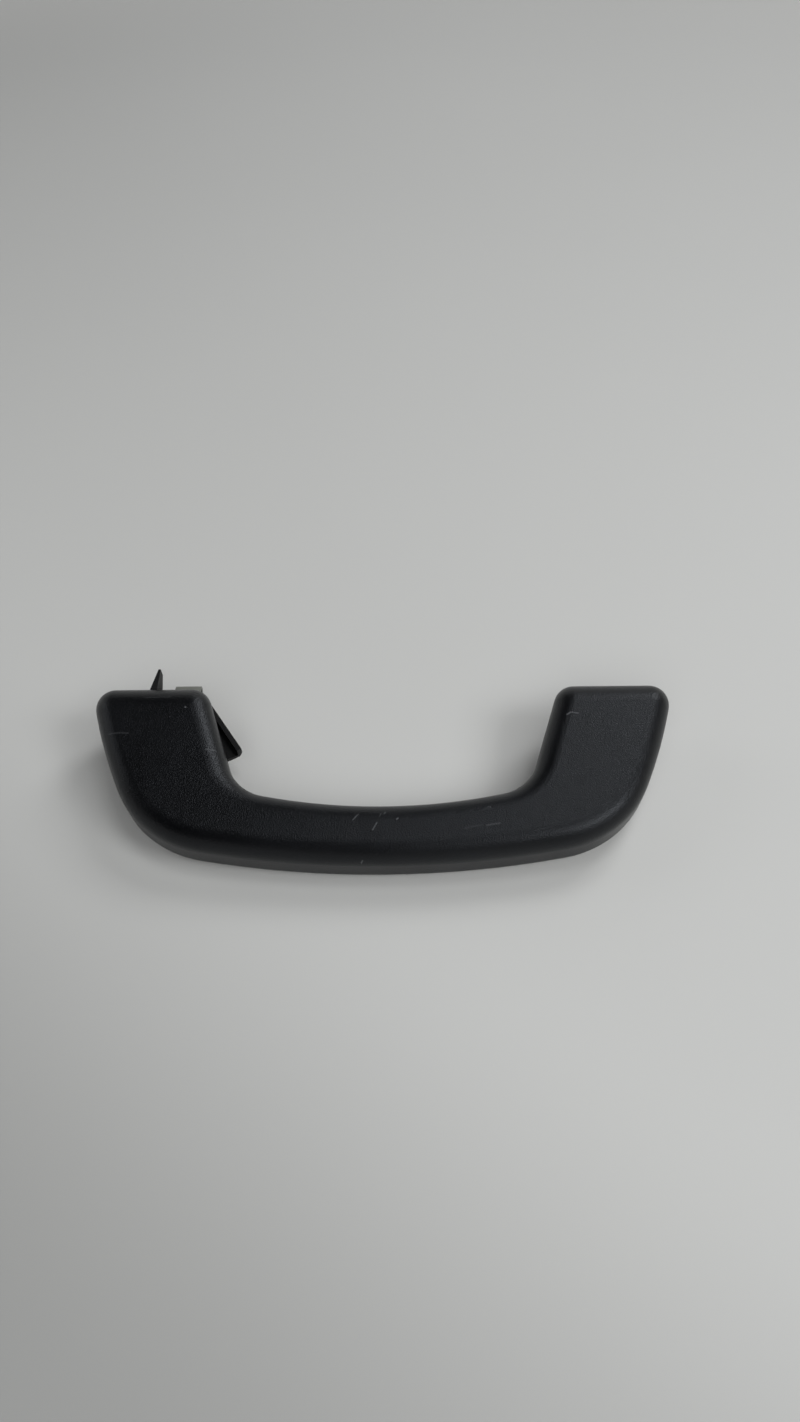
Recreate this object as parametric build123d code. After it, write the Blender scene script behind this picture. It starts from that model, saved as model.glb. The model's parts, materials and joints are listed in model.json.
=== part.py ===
"""Roof grab handle for a car: one moulded grip with two hollow arm ends.

Each arm end carries a hinged mounting foot with a spring clip, a locating fin
and a locking wedge, and a small hinged cover on its inner wall.  The right arm
has a return spring on its hinge pin, the left arm a rotary damper.

Everything is drawn flat first: X along the handle, Y from the bar to the arm
ends, Z out of the face, with both hinge pins on the line Y = 0, Z = 0.  Only
right-hand pieces are drawn; the left ones are their mirror images.  At the end
all pieces are tilted into the pose of the photo: lying face up on a table, the
left foot swung open and the right foot folded in.
"""
import os
from math import acos, cos, degrees, radians, sin, tan

from build123d import *

# Grip outline
FACE_Z = 10.0
BACK_Z = -9.0
ARM_END_Y = 10.5
BAR_INNER_Y = -37.9
BAR_WIDTH = 21.6
FRONT_RADIUS = 362.0
FRONT_TURN = 10.2
ELBOW_RADIUS = 40.6
ELBOW_TURN = 54.9
SIDE_RADIUS = 198.0
INNER_BAR_RADIUS = 207.0
INNER_ELBOW_RADIUS = 17.0
ARM_INNER_X = 62.05
ARM_INNER_SLANT = 18.0
ROLL_OVER_RADIUS = 10.0

# Rounding of the grip's edges
FACE_ROUND = 7.2
UNDER_ROUND = 4.0

# Hollow arm ends
SKIN = 2.8
COVER_WALL = 4.0
POCKET_END_Y = -26.5
POCKET_LIP_Y = -5.0
POCKET_FAR_OUTER_X = 91.6
SIDE_GAP = 0.3
MOVE_GAP = 0.35
RIB_THICK = 1.6
RIB_NEAR_Y = -5.0
RIB_FAR_Y = -6.6

# Hinge pins and mounting feet
PIN_RADIUS = 2.0
PIN_RUNNING_FIT = 0.06
PIN_INNER_X = 64.2
PIN_OUTER_X = 102.6
FOOT_INNER_X = 69.3
FOOT_OUTER_X = 99.8
EAR_WIDTH = 3.8
EAR_RADIUS = 4.4
EAR_NEAR_Y = -0.8
EAR_FAR_Y = -5.8
SEAT_Z = -9.5
PLATE_THICK = 2.8
PLATE_NEAR_Y = -3.0
PLATE_FAR_Y = -22.3
PLATE_FAR_OUTER_X = 92.6
PLATE_CORNER = 2.0
PAD_RAISE = 0.5
PAD_INNER_X = 87.5
PAD_OUTER_X = 92.0
PAD_NEAR_Y = -7.0
PAD_FAR_Y = -20.5
FIN_INNER_X = 84.0
FIN_LEAN = 0.6
FIN_BASE_WIDTH = 2.8
FIN_TIP_WIDTH = 0.8
FIN_LENGTH = 9.6
FIN_NEAR_Y = 3.0
FIN_FAR_Y = -5.0
FIN_SIDE_STEP = 0.7

# Spring clip and locking wedge
CLIP_X = 74.8
CLIP_WIDTH = 9.8
CLIP_SHEET = 0.8
CLIP_Y = -10.0
CLIP_NECK = 5.6
CLIP_BARB = 8.0
CLIP_NOSE = 2.8
CLIP_LENGTH = 8.9
CLIP_BARB_DROP = 3.5
CLIP_TAIL = 1.6
CLIP_BEND = 0.5
CLIP_EASE = 0.15
WEDGE_WIDTH = 7.4
WEDGE_HEAD = 1.6
WEDGE_DEPTH = 5.0
WEDGE_TIP = 2.2

# Cover on the inner wall of each arm
COVER_AXIS_ALONG = 1.6
COVER_TOP_Z = -3.0
COVER_LENGTH = 23.7
COVER_SKIN = 1.8
COVER_LIP_START = 5.0
COVER_LIP_NEAR = 3.0
COVER_LIP_FAR = 7.0
COVER_LIP_THICK = 1.8
COVER_LIP_SWING = 1.3
COVER_GAP = 0.35
KNUCKLE_RADIUS = 1.9
LUG_THICK = 1.5
COVER_PIN_RADIUS = 0.8
WINDOW_START = 11.0
WINDOW_END = 20.0

# Return spring and damper on the hinge pins
WIRE_RADIUS = 0.55
SPRING_RADIUS = 3.3
SPRING_START_X = 85.0
SPRING_TURNS = 4.5
SPRING_PITCH = 1.5
SPRING_LEG = 6.2
DAMPER_SHAFT_REACH = 4.0
DAMPER_LENGTH = 11.0
DAMPER_RADIUS = 5.2
DAMPER_WALL = 1.1
DAMPER_CAP = 1.4
DAMPER_SHAFT = 2.9
DAMPER_PLAY = 0.3
SEAL_THICK = 0.8
SEAL_WIDTH = 0.9

# Pose of the photo
TILT = 12.0
LEFT_FOOT_OPEN = 90.0
LEFT_COVER_OPEN = 16.0

SLANT = tan(radians(ARM_INNER_SLANT))
ALONG = (-sin(radians(ARM_INNER_SLANT)), -cos(radians(ARM_INNER_SLANT)))
OUTWARD = (-cos(radians(ARM_INNER_SLANT)), sin(radians(ARM_INNER_SLANT)))
CEILING_Z = FACE_Z - SKIN
ROLL_START_Z = FACE_Z - ROLL_OVER_RADIUS
BAR_FRONT_Y = BAR_INNER_Y - BAR_WIDTH
DAMPER_START_X = FOOT_INNER_X + EAR_WIDTH + DAMPER_SHAFT_REACH


def inner_wall_x(y):
    """X of the arm's inner wall at a given Y."""
    return ARM_INNER_X + y * SLANT


def wall_point(along, outward):
    """Plan point counted along the inner wall from the arm end and out of it."""
    start_y = 8.0
    x = inner_wall_x(start_y) + along * ALONG[0] + outward * OUTWARD[0]
    return (x, start_y + along * ALONG[1] + outward * OUTWARD[1])


def block(x0, x1, y0, y1, z0, z1):
    """Box given by its six faces."""
    middle = Pos((x0 + x1) / 2, (y0 + y1) / 2, (z0 + z1) / 2)
    return middle * Box(abs(x1 - x0), abs(y1 - y0), abs(z1 - z0))


def rod(radius, x0, x1, y=0.0, z=0.0):
    """Cylinder along X."""
    return Pos((x0 + x1) / 2, y, z) * Rot(0, 90, 0) * Cylinder(radius, abs(x1 - x0))


def cover_axis():
    """Plan point of the cover's pin, one knuckle radius inside the wall."""
    return wall_point(COVER_AXIS_ALONG, -KNUCKLE_RADIUS)


def post(radius, z0, z1):
    """Cylinder along Z on the cover's axis."""
    x, y = cover_axis()
    return Pos(x, y, (z0 + z1) / 2) * Cylinder(radius, abs(z1 - z0))


def plan_slab(points, z0, z1):
    """Straight-edged plan outline raised from z0 to z1."""
    face = make_face(Polyline(*points, close=True))
    return Pos(0, 0, z0) * extrude(face, z1 - z0)


def raise_side(face, x0, x1):
    """Flat side view, drawn as (Y, Z), turned upright and raised from x0 to x1."""
    return Pos(x0, 0, 0) * (Plane.YZ * extrude(face, x1 - x0))


def side_slab(points, x0, x1):
    """Straight-edged side view raised from x0 to x1."""
    return raise_side(make_face(Polyline(*points, close=True)), x0, x1)


def near(vertices, point):
    """Vertices at a plan point or at its mirror image."""
    x, y = point
    return [v for v in vertices if abs(abs(v.X) - x) < 0.01 and abs(v.Y - y) < 0.01]


def arm_gap():
    """Open space between the two arms, down to the arched inner edge of the bar."""
    low_y = BAR_INNER_Y - 1
    high_y = ARM_END_Y + 1
    corners = [
        (inner_wall_x(low_y), low_y),
        (inner_wall_x(high_y), high_y),
        (-inner_wall_x(high_y), high_y),
        (-inner_wall_x(low_y), low_y),
    ]
    arch = Pos(0, BAR_INNER_Y + INNER_BAR_RADIUS) * Circle(INNER_BAR_RADIUS)
    gap = make_face(Polyline(*corners, close=True)) & arch
    crooks = gap.vertices().sort_by(Axis.Y)[:2]
    return fillet(crooks, INNER_ELBOW_RADIUS)


def grip_plan():
    """Outline of the whole grip seen from the face, its arm corners still sharp."""
    front = JernArc((0, BAR_FRONT_Y), (1, 0), FRONT_RADIUS, FRONT_TURN)
    elbow = JernArc(front @ 1, front % 1, ELBOW_RADIUS, ELBOW_TURN)
    turned = FRONT_TURN + ELBOW_TURN
    # The side arc runs on until it reaches the line of the arm's end.
    lean_cos = cos(radians(turned)) - (ARM_END_Y - (elbow @ 1).Y) / SIDE_RADIUS
    side = JernArc(elbow @ 1, elbow % 1, SIDE_RADIUS, degrees(acos(lean_cos)) - turned)
    half = [front, elbow, side, Line(side @ 1, (0, ARM_END_Y))]
    mirrored = [mirror(edge, about=Plane.YZ) for edge in half]
    return make_face(half + mirrored) - arm_gap()


def grip_side():
    """Side view of the grip: flat face, rolled over at the arm end."""
    roll_y = ARM_END_Y - ROLL_OVER_RADIUS
    edges = [
        Line((ARM_END_Y, BACK_Z), (ARM_END_Y, ROLL_START_Z)),
        JernArc((ARM_END_Y, ROLL_START_Z), (0, 1), ROLL_OVER_RADIUS, 90),
        Line((roll_y, FACE_Z), (2 * BAR_FRONT_Y, FACE_Z)),
        Line((2 * BAR_FRONT_Y, FACE_Z), (2 * BAR_FRONT_Y, BACK_Z)),
        Line((2 * BAR_FRONT_Y, BACK_Z), (ARM_END_Y, BACK_Z)),
    ]
    return make_face(edges)


def pocket_side():
    """Side view of the hollow in an arm end, one skin thickness inside the grip."""
    roll_y = ARM_END_Y - ROLL_OVER_RADIUS
    radius = ROLL_OVER_RADIUS - SKIN
    edges = [
        Line((roll_y + radius, BACK_Z - 1), (roll_y + radius, ROLL_START_Z)),
        JernArc((roll_y + radius, ROLL_START_Z), (0, 1), radius, 90),
        Line((roll_y, CEILING_Z), (POCKET_END_Y, CEILING_Z)),
        Line((POCKET_END_Y, CEILING_Z), (POCKET_END_Y, BACK_Z - 1)),
        Line((POCKET_END_Y, BACK_Z - 1), (roll_y + radius, BACK_Z - 1)),
    ]
    return make_face(edges)


def grip_shell():
    """Solid grip with its edges rounded, before the arm ends are hollowed."""
    plan = Pos(0, 0, BACK_Z) * extrude(grip_plan(), FACE_Z - BACK_Z)
    body = plan & raise_side(grip_side(), -2 * PIN_OUTER_X, 2 * PIN_OUTER_X)
    back = body.faces().sort_by(Axis.Z)[0]
    across = body.edges().filter_by(Axis.X)
    rim = [e for e in body.edges() if e not in across and e not in back.edges()]
    body = fillet(ShapeList(rim), FACE_ROUND)
    back = body.faces().sort_by(Axis.Z)[0]
    return fillet(back.edges(), UNDER_ROUND)


def pocket():
    """Hollow of the right arm end, with the cut-away for the opened foot."""
    near_x = FOOT_INNER_X - SIDE_GAP
    far_x = FOOT_OUTER_X + SIDE_GAP
    wall = COVER_WALL / cos(radians(ARM_INNER_SLANT))
    top_y = ARM_END_Y + 2
    plan = [
        (near_x, top_y),
        (near_x, POCKET_LIP_Y),
        (inner_wall_x(POCKET_LIP_Y) + wall, POCKET_LIP_Y),
        (inner_wall_x(POCKET_END_Y) + wall, POCKET_END_Y),
        (POCKET_FAR_OUTER_X, POCKET_END_Y),
        (far_x, EAR_FAR_Y - MOVE_GAP),
        (far_x, top_y),
    ]
    hollow = raise_side(pocket_side(), 0, PIN_OUTER_X + 10) & plan_slab(plan, BACK_Z - 1, FACE_Z)
    end_cut = block(near_x, far_x, 0, top_y, BACK_Z - 1, 0)
    fin_near = FIN_INNER_X - FIN_SIDE_STEP - SIDE_GAP
    fin_far = FIN_INNER_X + FIN_BASE_WIDTH + FIN_SIDE_STEP + SIDE_GAP
    fin_cut = block(fin_near, fin_far, 0, top_y, -1, FIN_NEAR_Y + MOVE_GAP)
    return hollow + end_cut + fin_cut


def pocket_rib():
    """Rib under the ceiling of the hollow that the return spring pushes on."""
    middle = SPRING_START_X + SPRING_TURNS * SPRING_PITCH
    foot_z = SPRING_RADIUS + WIRE_RADIUS
    half = RIB_THICK / 2
    return block(middle - half, middle + half, RIB_FAR_Y, RIB_NEAR_Y, foot_z, CEILING_Z + 1)


def cover_volume(length, skin, top_z, lip_top_z, lip_extra, lip_short):
    """Room taken by the right cover's skin and lip, cut off later by the grip's surface."""
    skin_plan = [
        wall_point(COVER_AXIS_ALONG, 3),
        wall_point(length, 3),
        wall_point(length, -skin),
        wall_point(COVER_AXIS_ALONG, -skin),
    ]
    start = COVER_LIP_START - lip_extra
    lip_plan = [
        wall_point(start, 3),
        wall_point(length, 3),
        wall_point(length, 0),
        wall_point(length - lip_short, -COVER_LIP_FAR - lip_extra),
        wall_point(start, -COVER_LIP_NEAR - lip_extra),
    ]
    upper = plan_slab(skin_plan, BACK_Z - 1, top_z)
    return upper + plan_slab(lip_plan, BACK_Z - 1, lip_top_z)


def cover_link(extra):
    """Web between the knuckle and the skin of the cover."""
    far = COVER_AXIS_ALONG + KNUCKLE_RADIUS
    return [
        wall_point(COVER_AXIS_ALONG, extra),
        wall_point(far, extra),
        wall_point(far, -KNUCKLE_RADIUS - extra),
        wall_point(COVER_AXIS_ALONG, -KNUCKLE_RADIUS - extra),
    ]


def cover_recess():
    """Recess in the inner wall for the right cover, its knuckle and a window."""
    lip_top = BACK_Z + COVER_LIP_THICK + COVER_GAP
    recess = cover_volume(
        COVER_LENGTH + COVER_GAP,
        COVER_SKIN + COVER_GAP,
        COVER_TOP_Z + COVER_GAP,
        lip_top,
        COVER_GAP,
        0,
    )
    low = BACK_Z + LUG_THICK
    high = COVER_TOP_Z + COVER_GAP
    notch = post(KNUCKLE_RADIUS + COVER_GAP, low, high)
    link = plan_slab(cover_link(COVER_GAP), low, high)
    window_plan = [
        wall_point(WINDOW_START, -1),
        wall_point(WINDOW_END, -1),
        wall_point(WINDOW_END, -COVER_LIP_FAR),
        wall_point(WINDOW_START, -COVER_LIP_FAR),
    ]
    window = plan_slab(window_plan, BACK_Z + 1, COVER_TOP_Z - 1)
    return recess + notch + link + window


def cover_lug(z0, z1):
    """Lug of the grip that holds one end of the cover pin."""
    x, y = cover_axis()
    side_x = FOOT_INNER_X - SIDE_GAP
    neck_plan = [
        (x, y + KNUCKLE_RADIUS),
        (side_x, y + KNUCKLE_RADIUS),
        (side_x, y - KNUCKLE_RADIUS),
        (x, y - KNUCKLE_RADIUS),
    ]
    return post(KNUCKLE_RADIUS, z0, z1) + plan_slab(neck_plan, z0, z1)


def grip(shell):
    """The moulded grip: shell, hollow arm ends, bores, cover recesses and lugs."""
    bore = rod(PIN_RADIUS, PIN_INNER_X - 8, PIN_OUTER_X)
    cut = pocket() - pocket_rib() + bore + cover_recess()
    upper = cover_lug(COVER_TOP_Z + COVER_GAP, COVER_TOP_Z + COVER_GAP + LUG_THICK)
    lower = cover_lug(BACK_Z, BACK_Z + LUG_THICK)
    pin_hole = post(COVER_PIN_RADIUS, BACK_Z - 1, COVER_TOP_Z + COVER_GAP + LUG_THICK)
    lugs = upper + lower
    body = shell - cut - mirror(cut, about=Plane.YZ)
    body = body + lugs + mirror(lugs, about=Plane.YZ)
    return body - pin_hole - mirror(pin_hole, about=Plane.YZ)


def foot_plate():
    """Flange of the foot, cut out for the clip, with its raised seating pad."""
    plan = [
        (FOOT_INNER_X, PLATE_NEAR_Y),
        (FOOT_INNER_X, PLATE_FAR_Y),
        (PLATE_FAR_OUTER_X, PLATE_FAR_Y),
        (FOOT_OUTER_X, POCKET_LIP_Y),
        (FOOT_OUTER_X, PLATE_NEAR_Y),
    ]
    plate = plan_slab(plan, SEAT_Z, SEAT_Z + PLATE_THICK)
    far = [e for e in plate.edges().filter_by(Axis.Z) if e.center().Y < PLATE_FAR_Y + 1]
    plate = fillet(ShapeList(far), PLATE_CORNER)
    pad = block(PAD_INNER_X, PAD_OUTER_X, PAD_FAR_Y, PAD_NEAR_Y, SEAT_Z - PAD_RAISE, SEAT_Z + 1)
    half = CLIP_WIDTH / 2
    neck = CLIP_NECK / 2
    slot = block(CLIP_X - half, CLIP_X + half, CLIP_Y - neck, CLIP_Y + neck, SEAT_Z - 2, 0)
    ease = neck + CLIP_EASE
    ease_z = SEAT_Z + PLATE_THICK - CLIP_EASE
    relief = block(CLIP_X - half, CLIP_X + half, CLIP_Y - ease, CLIP_Y + ease, ease_z, 0)
    return plate + pad - slot - relief


def foot_ear(x0):
    """Knuckle of the foot, from the pin down to the flange."""
    web = block(x0, x0 + EAR_WIDTH, EAR_FAR_Y, EAR_NEAR_Y, SEAT_Z, 0)
    shoulder = block(x0, x0 + EAR_WIDTH, -EAR_RADIUS, 0, -EAR_RADIUS, 0)
    return web + shoulder + rod(EAR_RADIUS, x0, x0 + EAR_WIDTH)


def foot_fin():
    """Locating fin, tapering to its tip and leaning a little inwards."""
    tip_z = SEAT_Z - FIN_LENGTH
    face = make_face(
        Polyline(
            (FIN_INNER_X, SEAT_Z + 1),
            (FIN_INNER_X, SEAT_Z),
            (FIN_INNER_X - FIN_LEAN, tip_z),
            (FIN_INNER_X - FIN_LEAN + FIN_TIP_WIDTH, tip_z),
            (FIN_INNER_X + FIN_BASE_WIDTH, SEAT_Z),
            (FIN_INNER_X + FIN_BASE_WIDTH, SEAT_Z + 1),
            close=True,
        )
    )
    blade = Pos(0, FIN_NEAR_Y, 0) * (Plane.XZ * extrude(face, FIN_NEAR_Y - FIN_FAR_Y))
    slope = side_slab(
        [(FIN_FAR_Y - 1, SEAT_Z - 3), (FIN_FAR_Y - 1, tip_z - 1), (FIN_FAR_Y + 4.5, tip_z - 1)],
        FIN_INNER_X - FIN_LEAN - 1,
        FIN_INNER_X + FIN_BASE_WIDTH + 1,
    )
    near_x = FIN_INNER_X - FIN_SIDE_STEP
    far_x = FIN_INNER_X + FIN_BASE_WIDTH + FIN_SIDE_STEP
    root = block(near_x, far_x, FIN_FAR_Y, FIN_NEAR_Y, SEAT_Z, SEAT_Z + PLATE_THICK)
    return blade - slope + root


def foot():
    """Mounting foot, folded into the right arm end."""
    rest_z = -SPRING_RADIUS - WIRE_RADIUS
    rib = block(
        SPRING_START_X - RIB_THICK / 2,
        SPRING_START_X + RIB_THICK / 2,
        RIB_FAR_Y,
        RIB_NEAR_Y,
        SEAT_Z + 1,
        rest_z,
    )
    body = foot_plate() + foot_ear(FOOT_INNER_X) + foot_ear(FOOT_OUTER_X - EAR_WIDTH)
    body = body + foot_fin() + rib
    return body - rod(PIN_RADIUS + PIN_RUNNING_FIT, FOOT_INNER_X - 1, FOOT_OUTER_X + 1)


def spring_clip():
    """Bent sheet clip that snaps into the car body, open towards the hollow."""
    middle = (CLIP_NECK - CLIP_SHEET) / 2
    barb = (CLIP_BARB - CLIP_SHEET) / 2
    nose = (CLIP_NOSE - CLIP_SHEET) / 2
    tail_z = SEAT_Z + PLATE_THICK + CLIP_SHEET / 2
    half = [
        (middle + CLIP_TAIL, tail_z),
        (middle, tail_z),
        (middle, SEAT_Z - 0.8),
        (barb, SEAT_Z - CLIP_BARB_DROP),
        (nose, SEAT_Z - CLIP_LENGTH + CLIP_SHEET / 2),
    ]
    path = [(CLIP_Y + y, z) for y, z in half] + [(CLIP_Y - y, z) for y, z in reversed(half)]
    strip = trace(FilletPolyline(*path, radius=CLIP_BEND), CLIP_SHEET)
    return raise_side(strip, CLIP_X - CLIP_WIDTH / 2, CLIP_X + CLIP_WIDTH / 2)


def locking_wedge():
    """Wedge between the legs of the clip; pulled into the hollow it frees the clip."""
    body = (CLIP_NECK - 2 * CLIP_SHEET) / 2 - MOVE_GAP
    head = CLIP_NECK / 2 + 0.6
    head_z = SEAT_Z + PLATE_THICK + CLIP_SHEET + MOVE_GAP
    tip_z = SEAT_Z - WEDGE_DEPTH
    profile = [
        (CLIP_Y - head, head_z + WEDGE_HEAD),
        (CLIP_Y - head, head_z),
        (CLIP_Y - body, head_z),
        (CLIP_Y - body, tip_z + WEDGE_TIP),
        (CLIP_Y - body / 2, tip_z),
        (CLIP_Y + body / 2, tip_z),
        (CLIP_Y + body, tip_z + WEDGE_TIP),
        (CLIP_Y + body, head_z),
        (CLIP_Y + head, head_z),
        (CLIP_Y + head, head_z + WEDGE_HEAD),
    ]
    return side_slab(profile, CLIP_X - WEDGE_WIDTH / 2, CLIP_X + WEDGE_WIDTH / 2)


def cover(shell):
    """Right cover, closed: its outside is cut from the grip's own surface."""
    lip_top = BACK_Z + COVER_LIP_THICK
    skin = shell & cover_volume(COVER_LENGTH, COVER_SKIN, COVER_TOP_Z, lip_top, 0, COVER_LIP_SWING)
    low = BACK_Z + LUG_THICK + COVER_GAP
    knuckle = post(KNUCKLE_RADIUS, low, COVER_TOP_Z)
    link = plan_slab(cover_link(0), low, COVER_TOP_Z)
    hole = post(COVER_PIN_RADIUS + PIN_RUNNING_FIT, BACK_Z - 1, COVER_TOP_Z + 1)
    lug_plan = [
        wall_point(-4, 3),
        wall_point(COVER_LIP_START, 3),
        wall_point(COVER_LIP_START, -COVER_LIP_FAR),
        wall_point(-4, -COVER_LIP_FAR),
    ]
    lug_room = plan_slab(lug_plan, BACK_Z - 1, low)
    return skin - lug_room + knuckle + link - hole


def cover_pin():
    """Pin of the cover, held in the two lugs of the grip."""
    return post(COVER_PIN_RADIUS, BACK_Z + 0.2, COVER_TOP_Z + COVER_GAP + LUG_THICK)


def hinge_pin():
    """Pin of the foot, pushed in through the hole in the arm's inner wall."""
    pin = rod(PIN_RADIUS, PIN_INNER_X, PIN_OUTER_X)
    return chamfer(pin.edges().filter_by(GeomType.CIRCLE), 0.3)


def return_spring():
    """Wire spring round the right pin, one leg on the foot, one on the grip.

    The wire is drawn six-sided, which keeps its faces few.
    """
    coil = Helix(SPRING_PITCH, SPRING_TURNS * SPRING_PITCH, SPRING_RADIUS)
    ring = Plane(origin=coil @ 0, z_dir=coil % 0) * RegularPolygon(WIRE_RADIUS, 6)
    leg = extrude(RegularPolygon(WIRE_RADIUS, 6), SPRING_LEG)
    first = Plane(origin=coil @ 0, z_dir=-(coil % 0)) * leg
    last = Plane(origin=coil @ 1, z_dir=coil % 1) * leg
    wire = sweep(ring, path=coil).fuse(first).fuse(last)
    return Pos(SPRING_START_X, 0, 0) * Rot(0, 90, 0) * wire


def damper_housing():
    """Cup of the damper round the pin, keyed to the ceiling of the hollow."""
    end = DAMPER_START_X + DAMPER_LENGTH
    cup = rod(DAMPER_RADIUS, DAMPER_START_X + DAMPER_CAP, end)
    cup = cup - rod(DAMPER_RADIUS - DAMPER_WALL, DAMPER_START_X, end - DAMPER_CAP)
    cup = cup - rod(PIN_RADIUS + DAMPER_PLAY, DAMPER_START_X, end + 1)
    key_y = ARM_END_Y - ROLL_OVER_RADIUS
    key = block(DAMPER_START_X + 3, end - 3, key_y - 3, key_y, DAMPER_RADIUS - 0.8, CEILING_Z)
    return cup + key


def damper_cap():
    """Lid of the damper cup, with the hole for the rotor's shaft."""
    lid = rod(DAMPER_RADIUS, DAMPER_START_X, DAMPER_START_X + DAMPER_CAP)
    return lid - rod(DAMPER_SHAFT + DAMPER_PLAY, DAMPER_START_X - 1, DAMPER_START_X + DAMPER_CAP + 1)


def damper_rotor():
    """Rotor of the damper: its shaft butts against the foot's inner knuckle."""
    drum_radius = DAMPER_RADIUS - DAMPER_WALL - DAMPER_PLAY
    drum_start = DAMPER_START_X + DAMPER_CAP + SEAL_THICK + DAMPER_PLAY
    drum_end = DAMPER_START_X + DAMPER_LENGTH - DAMPER_CAP - DAMPER_PLAY
    drum = rod(drum_radius, drum_start, drum_end)
    shaft = rod(DAMPER_SHAFT, FOOT_INNER_X + EAR_WIDTH, drum_start)
    return drum + shaft - rod(PIN_RADIUS + PIN_RUNNING_FIT, FOOT_INNER_X, PIN_OUTER_X)


def damper_seal_ring():
    """Flat rubber ring between the damper's cap and rotor."""
    start = DAMPER_START_X + DAMPER_CAP
    outer = DAMPER_RADIUS - DAMPER_WALL
    ring = rod(outer, start, start + SEAL_THICK)
    return ring - rod(outer - SEAL_WIDTH, start - 1, start + SEAL_THICK + 1)


def flat_pieces():
    """All pieces in the flat drawing position, left foot and left cover opened."""
    shell = grip_shell()
    cover_closed = cover(shell)
    open_foot = Rot(LEFT_FOOT_OPEN, 0, 0)
    axis = Pos(*cover_axis(), 0)
    open_cover = axis * Rot(0, 0, -LEFT_COVER_OPEN) * axis.inverse()
    right = {
        "right_foot": foot(),
        "right_spring_clip": spring_clip(),
        "right_locking_wedge": locking_wedge(),
        "right_hinge_pin": hinge_pin(),
        "right_cover": cover_closed,
        "right_cover_pin": cover_pin(),
        "return_spring": return_spring(),
    }
    left = {
        "left_foot": open_foot * foot(),
        "left_spring_clip": open_foot * spring_clip(),
        "left_locking_wedge": open_foot * locking_wedge(),
        "left_hinge_pin": hinge_pin(),
        "left_cover": open_cover * cover_closed,
        "left_cover_pin": cover_pin(),
        "damper_housing": damper_housing(),
        "damper_cap": damper_cap(),
        "damper_rotor": damper_rotor(),
        "damper_seal_ring": damper_seal_ring(),
    }
    pieces = {"grip": grip(shell)}
    pieces.update(right)
    pieces.update({name: mirror(piece, about=Plane.YZ) for name, piece in left.items()})
    return pieces


def lying_pose(pieces):
    """Tilt of the whole handle on the table, then the box centred over the origin."""
    tilted = Rot(TILT, 0, 0)
    box = Compound([tilted * piece for piece in pieces.values()]).bounding_box()
    shift = Pos(-box.center().X, -box.center().Y, -box.min.Z)
    return shift * tilted


if __name__ == "__main__":
    os.makedirs("parts", exist_ok=True)
    pieces = flat_pieces()
    pose = lying_pose(pieces)
    for name, piece in pieces.items():
        export_step(pose * piece, os.path.join("parts", name + ".step"))
    print("pin axis at", pose.position, "tilt", TILT)
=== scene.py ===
"""Looks of the roof grab handle: materials, floor, light and the photo's camera."""

import json
from math import cos, pi, radians, sin

import bpy
from mathutils import Matrix, Vector

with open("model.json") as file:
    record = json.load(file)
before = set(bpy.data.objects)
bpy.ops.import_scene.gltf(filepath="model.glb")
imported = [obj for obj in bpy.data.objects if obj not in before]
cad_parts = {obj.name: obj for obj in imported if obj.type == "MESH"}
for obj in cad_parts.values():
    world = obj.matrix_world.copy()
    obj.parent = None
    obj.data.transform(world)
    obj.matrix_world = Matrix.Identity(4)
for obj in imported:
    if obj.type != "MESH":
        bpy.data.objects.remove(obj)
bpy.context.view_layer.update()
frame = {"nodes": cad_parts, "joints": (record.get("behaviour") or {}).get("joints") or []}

# The grip leans by this much, arm ends up, about the line of the hinge pins.
TILT = radians(12.0)
left_hinge = next(joint for joint in frame["joints"] if joint["name"] == "left_foot_hinge")
PIN_LINE = Vector((0.0, left_hinge["pos_m"][1], left_hinge["pos_m"][2]))

# Camera of the photo: focal length and picture size in photo pixels, sensor side
# in millimetres, nearest visible distance, elevation, roll and distance, and the
# point that it looks at, measured from the pin line.
FOCAL_PX = 1070.0
PHOTO_WIDTH_PX = 800.0
PHOTO_HEIGHT_PX = 1422.0
SENSOR = 36.0
NEAREST = 0.01
ELEVATION = radians(50.0)
ROLL = radians(-0.5)
DISTANCE = 0.424
TARGET = PIN_LINE + Vector((0.0064, 0.0195, -0.0204))

# Soft lamps: name, azimuth in degrees from +Y towards +X, elevation in degrees,
# side in metres, radiance, and whether the lamp shows in reflections.
LAMP_DISTANCE = 1.6
LAMP_COLOUR = (0.97, 0.985, 1.0)
ROOM_COLOUR = (0.97, 0.98, 1.0, 1)
ROOM_STRENGTH = 0.015
LAMPS = [
    ("overhead", 65, 80, 0.45, 4.2, True),
    ("side_fill", 105, 58, 0.8, 0.7, False),
    ("front_fill", 190, 46, 0.9, 2.4, False),
    ("window_back", 42, 44, 0.6, 5.8, True),
    ("window_side", 118, 44, 0.6, 6.0, True),
    ("window_front", 150, 44, 0.6, 2.0, True),
    ("left_wall", 290, 30, 0.8, 0.9, True),
    ("back_wall", 0, 24, 0.7, 0.6, True),
]

# Pale tone of the far tabletop and the horizon, as seen directly and in gloss.
# It starts at one distance from the object and is full at another, and above the
# horizon it ends between two heights, as the sine of the elevation.
BACKDROP = (0.5, 0.498, 0.485, 1)
BACKDROP_STARTS = 0.75
BACKDROP_FULL = 1.4
HORIZON_LOW = 0.25
HORIZON_HIGH = 0.42

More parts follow.
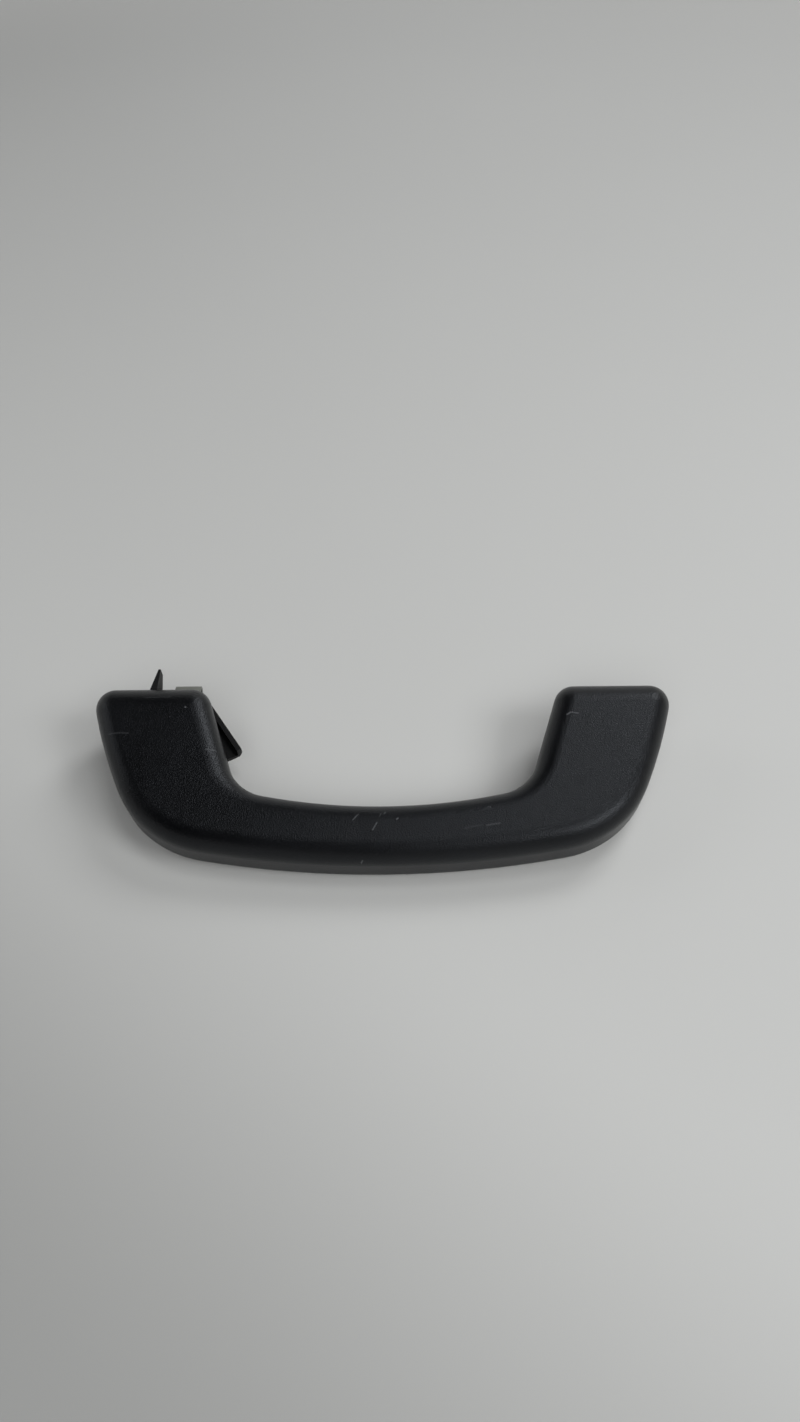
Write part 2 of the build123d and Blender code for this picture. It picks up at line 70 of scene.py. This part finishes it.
# The tabletop: half its side, its darker and paler paint, the spot from which painted
# shade darkens it towards the near left, and the distances and depths of both painted shade fades.
TABLE_REACH = 3.0
PAINT_DARK = (0.66, 0.657, 0.636, 1)
PAINT_PALE = (0.7, 0.697, 0.675, 1)
PAINTED_SHADE_ORIGIN = (0.05, 0.1, 0.0)
NEAR_LEFT = (-0.6, -0.8, 0.0)
NEAR_PAINTED_SHADE_FADE = (0.14, 0.33)
NEAR_PAINTED_SHADE = 0.62
FAR_PAINTED_SHADE_FADE = (0.05, 0.6)
FAR_PAINTED_SHADE = 0.93

# Colours, linear. Most materials have a darker and a paler end.
# Dark end of the tabletop's painted shade.
PAINTED_SHADE_BLACK = (0.0, 0.0, 0.0, 1)
GRIP_DARK = (0.0017, 0.0018, 0.0022, 1)
GRIP_PALE = (0.0028, 0.003, 0.0037, 1)
SCUFF_PALE = (0.13, 0.134, 0.14, 1)
# Dark end of the scuffs and of the painted dark stripe of shade.
SCUFF_AND_PAINTED_STRIPE_DARK = (0.0012, 0.0012, 0.0012, 1)
GRIP_SHEEN = (0.9, 0.94, 1.0, 1)
FOOT_DARK = (0.004, 0.004, 0.0043, 1)
FOOT_PALE = (0.008, 0.008, 0.0084, 1)
ZINC_DARK = (0.22, 0.225, 0.2, 1)
ZINC_PALE = (0.36, 0.37, 0.34, 1)
STEEL_DARK = (0.46, 0.46, 0.47, 1)
STEEL_PALE = (0.6, 0.6, 0.61, 1)
WIRE_DARK = (0.16, 0.16, 0.17, 1)
WIRE_PALE = (0.3, 0.3, 0.31, 1)
DAMPER_DARK = (0.02, 0.02, 0.022, 1)
DAMPER_PALE = (0.032, 0.032, 0.035, 1)
RUBBER_DARK = (0.008, 0.008, 0.008, 1)
RUBBER_PALE = (0.014, 0.014, 0.014, 1)

# Marks of use on the grip, most of them after marks in the photo, and one painted
# dark stripe of shade: start and end in photo pixels, half width in millimetres,
# strength, and the height in millimetres above the pin line, square to the grip's
# face, at which the mark lies. Down the grip's sides the marks fade out between the
# two levels given here.
MM = 0.001
MARK_WOBBLE = (0.0005, 0.0005, 0.0005)
WOBBLE_SCALE = 420.0
MARKS_GONE = -6.0
MARKS_FULL = -5.0
FACE = 10.0
BAR_FRONT = 0.0
LIGHT_MARKS = [
    ((108, 733), (128, 733), 0.35, 0.22, FACE),
    ((145, 697), (170, 696), 0.3, 0.2, FACE),
    ((206, 749), (215, 749), 0.3, 0.55, FACE),
    ((208, 746), (209, 753), 0.25, 0.3, FACE),
    ((185, 707), (186, 707), 0.4, 0.8, FACE),
    ((353, 820), (358, 814), 0.3, 0.75, FACE),
    ((373, 830), (377, 822), 0.3, 0.7, FACE),
    ((379, 817), (381, 813), 0.2, 0.4, FACE),
    ((384, 813), (385, 812), 0.35, 0.7, FACE),
    ((397, 819), (398, 818), 0.35, 0.8, FACE),
    ((362, 868), (363, 867), 0.3, 0.7, BAR_FRONT),
    ((487, 825), (500, 823), 0.45, 0.3, FACE),
    ((465, 828), (482, 825), 0.5, 0.12, FACE),
    ((567, 714), (571, 712), 0.4, 0.7, FACE),
    ((571, 712), (578, 713), 0.4, 0.55, FACE),
]
# Dark scuffs, and in the last entry a painted dark stripe of shade on the right arm's inner rounding.
DARK_MARKS_AND_PAINTED_STRIPE = [
    ((629, 791), (629, 800), 0.5, 0.9, FACE),
    ((630, 786), (630, 788), 0.3, 0.7, FACE),
    ((649, 737), (648, 747), 0.35, 0.6, FACE),
    # Painted shade: a dark stripe down the right arm's inner rounding, not a mark.
    ((563, 721), (563, 734), 0.45, 0.5, FACE),
]


class Shader:
    """A node material under construction, with short calls for its nodes."""

    def __init__(self, name):
        self.material = bpy.data.materials.new(name)
        self.material.use_nodes = True
        self.tree = self.material.node_tree
        self.links = self.tree.links
        self.bsdf = self.tree.nodes["Principled BSDF"]

    def node(self, kind, **settings):
        made = self.tree.nodes.new("ShaderNode" + kind)
        for key, value in settings.items():
            setattr(made, key, value)
        return made

    def put(self, value, socket):
        if isinstance(value, bpy.types.NodeSocket):
            self.links.new(value, socket)
        else:
            socket.default_value = value

    def math(self, operation, a, b=0.0, clamp=False):
        made = self.node("Math", operation=operation, use_clamp=clamp)
        self.put(a, made.inputs[0])
        self.put(b, made.inputs[1])
        return made.outputs[0]

    def vector(self, operation, a, b=(0.0, 0.0, 0.0)):
        made = self.node("VectorMath", operation=operation)
        self.put(a, made.inputs[0])
        self.put(b, made.inputs[1])
        is_number = operation in ("DOT_PRODUCT", "LENGTH", "DISTANCE")
        return made.outputs["Value" if is_number else "Vector"]

    def place(self):
        """Position on the object in metres, in the shared frame."""
        return self.node("TexCoord").outputs["Object"]

    def noise(self, scale, detail=3.0, stretch=None):
        coordinates = self.place()
        if stretch:
            coordinates = self.vector("MULTIPLY", coordinates, stretch)
        made = self.node("TexNoise")
        self.put(coordinates, made.inputs["Vector"])
        made.inputs["Scale"].default_value = scale
        made.inputs["Detail"].default_value = detail
        return made.outputs["Fac"]

    def cells(self, scale):
        made = self.node("TexVoronoi")
        self.put(self.place(), made.inputs["Vector"])
        made.inputs["Scale"].default_value = scale
        return made.outputs["Distance"]

    def plan(self):
        """Position in the flat drawing of the grip: pin line at the origin, face up."""
        made = self.node("VectorRotate", rotation_type="X_AXIS")
        self.put(self.vector("SUBTRACT", self.place(), PIN_LINE), made.inputs["Vector"])
        made.inputs["Angle"].default_value = -TILT
        return made.outputs["Vector"]

    def split(self, vector):
        made = self.node("SeparateXYZ")
        self.put(vector, made.inputs["Vector"])
        return made.outputs

    def stroke(self, flat, start, end, half_width):
        """Soft mask of a straight mark between two plan points."""
        along = Vector(end) - Vector(start)
        offset = self.vector("SUBTRACT", flat, tuple(start) + (0.0,))
        share = self.vector("DOT_PRODUCT", offset, tuple(along) + (0.0,))
        share = self.math("DIVIDE", share, along.length_squared, clamp=True)
        foot = self.node("VectorMath", operation="SCALE")
        foot.inputs[0].default_value = tuple(along) + (0.0,)
        self.put(share, foot.inputs["Scale"])
        distance = self.vector("DISTANCE", offset, foot.outputs["Vector"])
        return self.span(distance, half_width, 0.3 * half_width)

    def span(self, value, low, high, to_low=0.0, to_high=1.0):
        """Smooth step of value from low..high to to_low..to_high."""
        made = self.node("MapRange", interpolation_type="SMOOTHSTEP")
        self.put(value, made.inputs["Value"])
        self.put(low, made.inputs["From Min"])
        self.put(high, made.inputs["From Max"])
        self.put(to_low, made.inputs["To Min"])
        self.put(to_high, made.inputs["To Max"])
        return made.outputs["Result"]

    def mix(self, factor, a, b):
        made = self.node("Mix", data_type="RGBA")
        self.put(factor, made.inputs["Factor"])
        self.put(a, made.inputs["A"])
        self.put(b, made.inputs["B"])
        return made.outputs["Result"]

    def bump(self, height, distance, strength=1.0):
        made = self.node("Bump")
        made.inputs["Distance"].default_value = distance
        made.inputs["Strength"].default_value = strength
        self.put(height, made.inputs["Height"])
        return made.outputs["Normal"]

    def set(self, name, value):
        self.put(value, self.bsdf.inputs[name])


class RoomShader(Shader):
    """The same short calls for the nodes of the world."""

    def __init__(self, name):
        self.world = bpy.data.worlds.new(name)
        self.world.use_nodes = True
        self.tree = self.world.node_tree
        self.links = self.tree.links


def seen_directly(s):
    """One for camera, glossy and see-through rays, and zero for the rest."""
    path = s.node("LightPath").outputs
    seen = s.math("MAXIMUM", path["Is Camera Ray"], path["Is Glossy Ray"])
    return s.math("MAXIMUM", seen, path["Is Transmission Ray"])


def blend_shaders(s, factor, near, far, output):
    """Send near to the named output, giving way to far as the factor grows."""
    made = s.node("MixShader")
    s.put(factor, made.inputs[0])
    s.links.new(near, made.inputs[1])
    s.links.new(far, made.inputs[2])
    s.links.new(made.outputs[0], s.tree.nodes[output].inputs["Surface"])


def camera_axes():
    """Right, up and forward of the photo's camera."""
    forward = Vector((0, cos(ELEVATION), -sin(ELEVATION)))
    level_up = Vector((0, sin(ELEVATION), cos(ELEVATION)))
    level_right = Vector((1, 0, 0))
    right = cos(ROLL) * level_right + sin(ROLL) * level_up
    up = cos(ROLL) * level_up - sin(ROLL) * level_right
    return right, up, forward


def drawn_at(pixel, height):
    """Flat-drawing x and y of what a photo pixel shows at a height above the pin line."""
    right, up, forward = camera_axes()
    across = (pixel[0] - PHOTO_WIDTH_PX / 2) / FOCAL_PX
    above = (PHOTO_HEIGHT_PX / 2 - pixel[1]) / FOCAL_PX
    level = Matrix.Rotation(-TILT, 3, "X")
    eye = level @ (TARGET - DISTANCE * forward - PIN_LINE)
    ray = level @ (forward + across * right + above * up)
    spot = eye + (height - eye.z) / ray.z * ray
    return spot.x, spot.y


def mark_strokes(s, marks):
    """Strongest of the listed marks at each point of the grip's face side."""
    flat = s.plan()
    wobble = s.node("TexNoise")
    s.put(s.place(), wobble.inputs["Vector"])
    wobble.inputs["Scale"].default_value = WOBBLE_SCALE
    centred = s.vector("SUBTRACT", wobble.outputs["Color"], (0.5, 0.5, 0.5))
    shift = s.vector("MULTIPLY", centred, MARK_WOBBLE)
    wavy = s.vector("MULTIPLY", s.vector("ADD", flat, shift), (1.0, 1.0, 0.0))
    total = None
    for start, end, half_width, strength, height in marks:
        ends = drawn_at(start, height * MM), drawn_at(end, height * MM)
        mask = s.stroke(wavy, *ends, half_width * MM)
        mask = s.math("MULTIPLY", mask, strength)
        total = mask if total is None else s.math("MAXIMUM", total, mask)
    upper = s.span(s.split(flat)["Z"], MARKS_GONE * MM, MARKS_FULL * MM)
    broken = s.span(s.noise(scale=2400.0, detail=2.0), 0.3, 0.55, 0.35, 1.0)
    return s.math("MULTIPLY", s.math("MULTIPLY", total, upper), broken)


def grip_plastic():
    """Grained black plastic with a bluish sheen, scuffed, a little worn, and one painted dark stripe
    of shade.
    """
    s = Shader("grip_plastic")
    cloud = s.noise(scale=38.0, detail=4.0)
    fine = s.noise(scale=900.0, detail=2.0)
    base = s.mix(s.span(cloud, 0.35, 0.7), GRIP_DARK, GRIP_PALE)
    light_wear = mark_strokes(s, LIGHT_MARKS)
    dark_wear_and_painted_stripe = mark_strokes(s, DARK_MARKS_AND_PAINTED_STRIPE)
    worn = s.mix(light_wear, base, SCUFF_PALE)
    # Dark scuffs and one painted stripe of shade darken the colour here.
    s.set("Base Color", s.mix(dark_wear_and_painted_stripe, worn, SCUFF_AND_PAINTED_STRIPE_DARK))
    rough = s.math("ADD", s.span(cloud, 0.3, 0.75, 0.28, 0.33), s.math("MULTIPLY", fine, 0.03))
    rough = s.math("ADD", rough, s.math("MULTIPLY", dark_wear_and_painted_stripe, 0.4))
    s.set("Roughness", rough)
    s.set("Specular IOR Level", 0.36)
    s.set("Specular Tint", GRIP_SHEEN)
    grain = s.math("ADD", s.cells(2100.0), s.math("MULTIPLY", s.noise(scale=3200.0, detail=2.0), 0.8))
    pores = s.math("SUBTRACT", grain, s.math("MULTIPLY", light_wear, 0.6))
    s.set("Normal", s.bump(pores, distance=0.00007))
    return s.material


def foot_plastic():
    """Plain matt black plastic of the mounting feet, wedges and covers."""
    s = Shader("foot_plastic")
    cloud = s.noise(scale=120.0, detail=3.0)
    s.set("Base Color", s.mix(cloud, FOOT_DARK, FOOT_PALE))
    s.set("Roughness", s.span(cloud, 0.2, 0.8, 0.46, 0.6))
    s.set("Specular IOR Level", 0.3)
    s.set("Normal", s.bump(s.noise(scale=1800.0, detail=2.0), 0.00004, 0.35))
    return s.material


def plated_steel():
    """Zinc-plated spring sheet: grey-green, faintly blotched, with rolling marks."""
    s = Shader("plated_steel")
    blotch = s.noise(scale=300.0, detail=4.0)
    lines = s.noise(scale=900.0, detail=2.0, stretch=(0.08, 1.0, 1.0))
    s.set("Base Color", s.mix(blotch, ZINC_DARK, ZINC_PALE))
    s.set("Metallic", 1.0)
    s.set("Roughness", s.span(lines, 0.3, 0.7, 0.3, 0.46))
    s.set("Normal", s.bump(lines, 0.00002, 0.4))
    return s.material


def bright_steel():
    """Drawn steel of the pins."""
    s = Shader("bright_steel")
    lines = s.noise(scale=1400.0, detail=2.0, stretch=(0.05, 1.0, 1.0))
    s.set("Base Color", s.mix(lines, STEEL_DARK, STEEL_PALE))
    s.set("Metallic", 1.0)
    s.set("Roughness", s.span(lines, 0.3, 0.7, 0.22, 0.36))
    return s.material


def spring_steel():
    """Dark oiled spring wire."""
    s = Shader("spring_steel")
    cloud = s.noise(scale=700.0, detail=3.0)
    s.set("Base Color", s.mix(cloud, WIRE_DARK, WIRE_PALE))
    s.set("Metallic", 1.0)
    s.set("Roughness", s.span(cloud, 0.3, 0.7, 0.25, 0.42))
    return s.material


def damper_plastic():
    """Smooth dark grey plastic of the damper."""
    s = Shader("damper_plastic")
    cloud = s.noise(scale=260.0, detail=3.0)
    s.set("Base Color", s.mix(cloud, DAMPER_DARK, DAMPER_PALE))
    s.set("Roughness", s.span(cloud, 0.2, 0.8, 0.32, 0.42))
    s.set("Normal", s.bump(s.noise(scale=2200.0, detail=2.0), 0.00002, 0.25))
    return s.material


def rubber():
    """Black rubber of the seal ring."""
    s = Shader("seal_rubber")
    fine = s.noise(scale=2500.0, detail=2.0)
    s.set("Base Color", s.mix(fine, RUBBER_DARK, RUBBER_PALE))
    s.set("Roughness", s.span(fine, 0.2, 0.8, 0.6, 0.75))
    return s.material


def floor_paint():
    """Pale grey matt tabletop with painted shade, darker towards its near left corner and its far
    side.
    """
    s = Shader("tabletop")
    wide = s.noise(scale=2.2, detail=3.0)
    # Painted shade: the paint darkens towards the near left and the far side, where the light falls
    # off.
    offset = s.vector("SUBTRACT", s.place(), PAINTED_SHADE_ORIGIN)
    towards = s.vector("DOT_PRODUCT", offset, NEAR_LEFT)
    painted_near_left_shade = s.span(towards, *NEAR_PAINTED_SHADE_FADE, 1.0, NEAR_PAINTED_SHADE)
    # Painted shade towards the far side.
    far = s.span(s.split(s.place())["Y"], *FAR_PAINTED_SHADE_FADE, 1.0, FAR_PAINTED_SHADE)
    painted_shade = s.math("MULTIPLY", painted_near_left_shade, far)
    paint = s.mix(wide, PAINT_DARK, PAINT_PALE)
    s.set("Base Color", s.mix(painted_shade, PAINTED_SHADE_BLACK, paint))
    s.set("Roughness", s.span(wide, 0.2, 0.8, 0.55, 0.62))
    s.set("Specular IOR Level", 0.3)
    s.set("Normal", s.bump(s.noise(scale=220.0, detail=4.0), 0.00008, 0.3))
    glow = s.node("Emission")
    glow.inputs["Color"].default_value = BACKDROP
    away = s.span(s.vector("LENGTH", s.place()), BACKDROP_STARTS, BACKDROP_FULL)
    share = s.math("MULTIPLY", away, seen_directly(s))
    blend_shaders(s, share, s.bsdf.outputs["BSDF"], glow.outputs[0], "Material Output")
    return s.material


def dress(names, material):
    """Give the named CAD pieces one material and smooth shading."""
    for name in names:
        node = frame["nodes"][name]
        node.data.materials.clear()
        node.data.materials.append(material)
        for polygon in node.data.polygons:
            polygon.use_smooth = True


def build_floor():
    far = TABLE_REACH
    mesh = bpy.data.meshes.new("tabletop")
    corners = [(-far, -far, 0), (far, -far, 0), (far, far, 0), (-far, far, 0)]
    mesh.from_pydata([Vector(c) for c in corners], [], [(0, 1, 2, 3)])
    mesh.materials.append(floor_paint())
    floor = bpy.data.objects.new("tabletop", mesh)
    bpy.context.scene.collection.objects.link(floor)


def soft_box(name, azimuth, elevation, size, radiance, mirrored):
    """Square soft lamp that faces the object; azimuth runs from +Y towards +X."""
    turn, rise = radians(azimuth), radians(elevation)
    outward = Vector((sin(turn) * cos(rise), cos(turn) * cos(rise), sin(rise)))
    data = bpy.data.lights.new(name, "AREA")
    data.shape = "SQUARE"
    data.size = size
    data.energy = radiance * pi * size * size
    data.color = LAMP_COLOUR
    lamp = bpy.data.objects.new(name, data)
    lamp.location = LAMP_DISTANCE * outward
    lamp.visible_camera = False
    lamp.visible_glossy = mirrored
    lamp.rotation_euler = outward.to_track_quat("Z", "Y").to_euler()
    bpy.context.scene.collection.objects.link(lamp)


def build_light():
    """Window light from the right, fill lamps, a faint room and a pale horizon."""
    for lamp in LAMPS:
        soft_box(*lamp)
    s = RoomShader("room")
    faint = s.tree.nodes["Background"]
    faint.inputs["Color"].default_value = ROOM_COLOUR
    faint.inputs["Strength"].default_value = ROOM_STRENGTH
    pale = s.node("Background")
    pale.inputs["Color"].default_value = BACKDROP
    height = s.split(s.node("TexCoord").outputs["Generated"])["Z"]
    low = s.span(height, HORIZON_HIGH, HORIZON_LOW)
    share = s.math("MULTIPLY", low, seen_directly(s))
    blend_shaders(s, share, faint.outputs[0], pale.outputs[0], "World Output")
    bpy.context.scene.world = s.world


def build_camera():
    right, up, forward = camera_axes()
    where = TARGET - DISTANCE * forward
    data = bpy.data.cameras.new("photo_camera")
    data.sensor_width = SENSOR
    data.lens = FOCAL_PX / PHOTO_HEIGHT_PX * SENSOR
    data.clip_start = NEAREST
    camera = bpy.data.objects.new("photo_camera", data)
    rotation = Matrix((right, up, -forward)).transposed().to_4x4()
    camera.matrix_world = Matrix.Translation(where) @ rotation
    bpy.context.scene.collection.objects.link(camera)
    bpy.context.scene.camera = camera


def main():
    plain_plastic = foot_plastic()
    dress(["grip"], grip_plastic())
    dress(["left_cover", "right_cover"], plain_plastic)
    dress(["left_foot", "right_foot", "left_locking_wedge", "right_locking_wedge"], plain_plastic)
    dress(["left_spring_clip", "right_spring_clip"], plated_steel())
    dress(["left_hinge_pin", "right_hinge_pin", "left_cover_pin", "right_cover_pin"], bright_steel())
    dress(["return_spring"], spring_steel())
    dress(["damper_housing", "damper_cap", "damper_rotor"], damper_plastic())
    dress(["damper_seal_ring"], rubber())
    build_floor()
    build_light()
    build_camera()
    bpy.context.scene.view_settings.view_transform = "Standard"


main()
